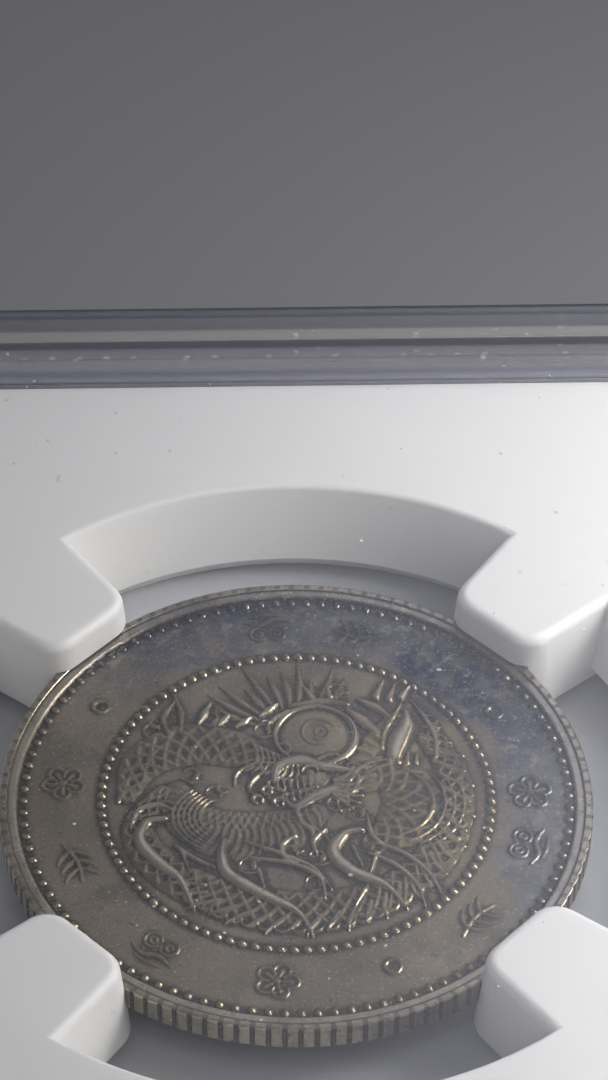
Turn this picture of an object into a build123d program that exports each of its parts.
from build123d import *
import math
import os

# A graded coin slab lying on its rear face: a coin held by the four prongs of a white insert,
# between two clear shells welded together at their edge. Millimetres, +Z up, front face up.
# The origin is the centre of the rear face. The label end points to +Y.

# Case outline
CASE_WIDTH = 59.0
CASE_LENGTH = 86.0
CASE_CORNER = 4.0
CORNER_LEAST = 0.6
EDGE_ROUND = 0.6

# Case heights, from the rear face
PANEL = 1.3
SPLIT = 3.5
FRONT_FACE = 7.0
RAIL_HEIGHT = 0.8
CHANNEL_FLOOR = 2.1
CHANNEL_ROOF = 6.3

# Case section, each as a distance inward from the outline
RAIL_OUTER = 1.1
RAIL_INNER = 3.7
RAIL_OUTER_SLOPE = 45.0
RAIL_INNER_SLOPE = 20.0
RAIL_ROUND = 0.15
GROOVE_OUTER = 0.9
GROOVE_INNER = 3.9
GROOVE_DEPTH = 0.9
CHANNEL_OUTER = 1.9
CHANNEL_INNER = 3.5
CAVITY = 4.6
TONGUE_OUTER = 0.7
TONGUE_INNER = 1.2
TONGUE_DEPTH = 0.4
TONGUE_SIDE_GAP = 0.05

# Insert
INSERT = 4.75
PANEL_GAP = 0.1
INSERT_LOW = PANEL + PANEL_GAP
INSERT_HIGH = FRONT_FACE - PANEL - PANEL_GAP
PAD_RADIUS = 1.5
PAD_TIP = 0.2
PAD_INSET = 3.2
PAD_UPPER_Y = 12.0
APERTURE_FRONT = 16.4
APERTURE_WAIST = 15.3
APERTURE_REAR = 15.9
WAIST_HEIGHT = 2.3
RIM_ROUND = 0.25

# Coin
COIN_FROM_END = 27.5
COIN_Y = COIN_FROM_END - CASE_LENGTH / 2
COIN_RADIUS = 12.0
COIN_THICKNESS = 1.1
COIN_LOW = SPLIT - COIN_THICKNESS / 2
REED_COUNT = 120
REED_DEPTH = 0.12
RIM_WIDTH = 0.6
FIELD_DEPTH = 0.18
RING_RADIUS = 7.9
RING_WIDTH = 0.25
RING_HEIGHT = 0.12
MEDALLION_RADIUS = 4.6
MEDALLION_HEIGHT = 0.13

# Prongs
PRONG_ANGLES = (45, 135, 225, 315)
PRONG_TIP = 11.3
PRONG_ROOT = 17.6
PRONG_TIP_WIDTH = 5.0
PRONG_ROOT_WIDTH = 6.8
PRONG_DRAFT = 5.5
PRONG_LOW = 1.8
PRONG_TIP_HIGH = INSERT_HIGH - 0.1
PRONG_CORNER = 1.5
PRONG_EDGE = 0.45
COIN_RADIAL_GAP = 0.05
COIN_AXIAL_GAP = 0.05

# Labels
LABEL_WIDTH = 46.0
LABEL_LENGTH = 22.0
LABEL_Y = 26.0
LABEL_CORNER = 0.8
LABEL_THICKNESS = 0.25
POCKET_DEPTH = 0.3
POCKET_GAP = 0.2
FOIL_WIDTH = 40.0
FOIL_LENGTH = 8.0
FOIL_THICKNESS = 0.05


def outline_block(inset, low, high, taper=0.0):
    """A block that follows the case's outline, set in from it by inset."""
    corner = max(CASE_CORNER - inset, CORNER_LEAST)
    outline = RectangleRounded(CASE_WIDTH - 2 * inset, CASE_LENGTH - 2 * inset, corner)
    return Pos(0, 0, low) * extrude(outline, high - low, taper=taper)


def outline_ring(outer, inner, low, high):
    """A frame that follows the case's outline between two insets."""
    return outline_block(outer, low, high) - outline_block(inner, low, high)


def stacking_rail():
    """The raised frame on the front face, with sloping sides."""
    top = FRONT_FACE + RAIL_HEIGHT
    outer = outline_block(RAIL_OUTER, FRONT_FACE, top, taper=RAIL_OUTER_SLOPE)
    inner = outline_block(RAIL_INNER, FRONT_FACE, top, taper=-RAIL_INNER_SLOPE)
    rail = outer - inner
    return fillet(rail.edges().group_by(Axis.Z)[-1], RAIL_ROUND)


def front_shell():
    """The clear front half: window, rail, inner rib, edge wall and weld tongue."""
    shell = outline_block(0, SPLIT, FRONT_FACE)
    shell = fillet(shell.edges().group_by(Axis.Z)[-1], EDGE_ROUND)
    shell -= outline_block(CAVITY, SPLIT, FRONT_FACE - PANEL)
    shell -= outline_ring(CHANNEL_OUTER, CHANNEL_INNER, SPLIT, CHANNEL_ROOF)
    shell += stacking_rail()
    shell += outline_ring(TONGUE_OUTER, TONGUE_INNER, SPLIT - TONGUE_DEPTH, SPLIT)
    return shell


def rear_shell():
    """The clear rear half: window, stacking groove, inner rib, edge wall and weld groove."""
    shell = outline_block(0, 0, SPLIT)
    shell = fillet(shell.edges().group_by(Axis.Z)[0], EDGE_ROUND)
    shell -= outline_block(CAVITY, PANEL, SPLIT)
    shell -= outline_ring(CHANNEL_OUTER, CHANNEL_INNER, CHANNEL_FLOOR, SPLIT)
    shell -= outline_ring(GROOVE_OUTER, GROOVE_INNER, 0, GROOVE_DEPTH)
    tongue_outer = TONGUE_OUTER - TONGUE_SIDE_GAP
    tongue_inner = TONGUE_INNER + TONGUE_SIDE_GAP
    shell -= outline_ring(tongue_outer, tongue_inner, SPLIT - TONGUE_DEPTH, SPLIT)
    return shell


def coin_aperture():
    """The hole through the insert: wide at the front, with a waist near the rear."""
    half = Polyline(
        (0, INSERT_LOW),
        (APERTURE_REAR, INSERT_LOW),
        (APERTURE_WAIST, WAIST_HEIGHT),
        (APERTURE_FRONT, INSERT_HIGH),
        (0, INSERT_HIGH),
        close=True,
    )
    section = Plane.XZ * make_face(half)
    return Pos(0, COIN_Y, 0) * revolve(section, Axis.Z)


def prong():
    """One prong on the +X side, with drafted sides and a groove for the coin's edge."""
    side = Polyline(
        (PRONG_TIP, PRONG_LOW),
        (PRONG_ROOT, PRONG_LOW),
        (PRONG_ROOT, INSERT_HIGH),
        (APERTURE_FRONT, INSERT_HIGH),
        (PRONG_TIP, PRONG_TIP_HIGH),
        close=True,
    )
    side_block = extrude(Plane.XZ * make_face(side), PRONG_ROOT_WIDTH, both=True)
    plan = Polyline(
        (PRONG_TIP, -PRONG_TIP_WIDTH / 2),
        (PRONG_ROOT, -PRONG_ROOT_WIDTH / 2),
        (PRONG_ROOT, PRONG_ROOT_WIDTH / 2),
        (PRONG_TIP, PRONG_TIP_WIDTH / 2),
        close=True,
    )
    plan_face = make_face(plan)
    tip_corners = plan_face.vertices().group_by(Axis.X)[0]
    foot = Pos(0, 0, PRONG_LOW) * fillet(tip_corners, PRONG_CORNER)
    plan_block = extrude(foot, INSERT_HIGH - PRONG_LOW, taper=PRONG_DRAFT)
    body = side_block & plan_block
    top_face = body.faces().filter_by(lambda face: face.normal_at().Z > 0.9).sort_by(Axis.X)[0]
    top_edges = [edge for edge in top_face.edges() if edge.center().X < APERTURE_FRONT - 0.1]
    body = fillet(top_edges, PRONG_EDGE)
    groove_radius = COIN_RADIUS + COIN_RADIAL_GAP
    groove_height = COIN_THICKNESS + 2 * COIN_AXIAL_GAP
    return body - Pos(0, 0, SPLIT) * Cylinder(groove_radius, groove_height)


def label_pocket(low, high):
    """The shallow pocket that locates a label on one face of the insert."""
    width = LABEL_WIDTH + 2 * POCKET_GAP
    length = LABEL_LENGTH + 2 * POCKET_GAP
    outline = RectangleRounded(width, length, LABEL_CORNER + POCKET_GAP)
    return Pos(0, LABEL_Y, low) * extrude(outline, high - low)


def contact_pads():
    """Very low cones on both faces, beside the coin's area, that touch the windows at their tips."""
    x = CASE_WIDTH / 2 - INSERT - PAD_INSET
    lower_y = INSERT + PAD_INSET - CASE_LENGTH / 2
    half = Polyline(
        (0, PANEL),
        (PAD_TIP, PANEL),
        (PAD_RADIUS, INSERT_LOW),
        (PAD_RADIUS, INSERT_HIGH),
        (PAD_TIP, FRONT_FACE - PANEL),
        (0, FRONT_FACE - PANEL),
        close=True,
    )
    pad = revolve(Plane.XZ * make_face(half), Axis.Z)
    return [Pos(side * x, y, 0) * pad for side in (-1, 1) for y in (lower_y, PAD_UPPER_Y)]


def insert():
    """The white insert: one moulding with the aperture, four prongs and two label pockets."""
    body = outline_block(INSERT, INSERT_LOW, INSERT_HIGH)
    body -= coin_aperture()
    rim = body.edges().filter_by(GeomType.CIRCLE)
    rim = [edge for edge in rim if abs(edge.radius - APERTURE_FRONT) < 0.01]
    body = fillet(rim, RIM_ROUND)
    one_prong = prong()
    for angle in PRONG_ANGLES:
        body += Pos(0, COIN_Y, 0) * Rot(0, 0, angle) * one_prong
    body -= label_pocket(INSERT_HIGH - POCKET_DEPTH, INSERT_HIGH)
    body -= label_pocket(INSERT_LOW, INSERT_LOW + POCKET_DEPTH)
    for pad in contact_pads():
        body += pad
    return body


def reeded_outline():
    """The coin's edge in plan: square-topped reeds on a circle."""
    points = []
    step = 2 * math.pi / REED_COUNT
    for reed in range(REED_COUNT):
        start = reed * step
        for share, radius in ((0.0, COIN_RADIUS - REED_DEPTH), (0.4, COIN_RADIUS - REED_DEPTH),
                              (0.5, COIN_RADIUS), (0.9, COIN_RADIUS)):
            angle = start + share * step
            points.append((radius * math.cos(angle), radius * math.sin(angle)))
    return make_face(Polyline(*points, close=True))


def coin():
    """The coin: reeded edge, raised rim, an inner ring and a plain medallion on both faces."""
    body = Pos(0, 0, COIN_LOW) * extrude(reeded_outline(), COIN_THICKNESS)
    middle = Pos(0, 0, SPLIT)
    field = Cylinder(COIN_RADIUS - RIM_WIDTH, FIELD_DEPTH)
    offset = (COIN_THICKNESS - FIELD_DEPTH) / 2
    body -= middle * Pos(0, 0, offset) * field
    body -= middle * Pos(0, 0, -offset) * field
    between_fields = COIN_THICKNESS - 2 * FIELD_DEPTH
    ring_height = between_fields + 2 * RING_HEIGHT
    ring = Cylinder(RING_RADIUS, ring_height) - Cylinder(RING_RADIUS - RING_WIDTH, ring_height)
    body += middle * ring
    body += middle * Cylinder(MEDALLION_RADIUS, between_fields + 2 * MEDALLION_HEIGHT)
    return Pos(0, COIN_Y, 0) * body


def label_sheet(low, thickness, width, length, corner):
    """A flat sheet with rounded corners at the label's place."""
    return Pos(0, LABEL_Y, low) * extrude(RectangleRounded(width, length, corner), thickness)


def front_label():
    low = INSERT_HIGH - POCKET_DEPTH
    return label_sheet(low, LABEL_THICKNESS, LABEL_WIDTH, LABEL_LENGTH, LABEL_CORNER)


def rear_label():
    low = INSERT_LOW + POCKET_DEPTH - LABEL_THICKNESS
    return label_sheet(low, LABEL_THICKNESS, LABEL_WIDTH, LABEL_LENGTH, LABEL_CORNER)


def security_foil():
    low = INSERT_LOW + POCKET_DEPTH - LABEL_THICKNESS - FOIL_THICKNESS
    return label_sheet(low, FOIL_THICKNESS, FOIL_WIDTH, FOIL_LENGTH, LABEL_CORNER)


NODES = {
    "front_shell": front_shell,
    "rear_shell": rear_shell,
    "coin_insert": insert,
    "coin": coin,
    "front_label": front_label,
    "rear_label": rear_label,
    "security_foil": security_foil,
}

os.makedirs("parts", exist_ok=True)
for name, make in NODES.items():
    export_step(make(), f"parts/{name}.step")
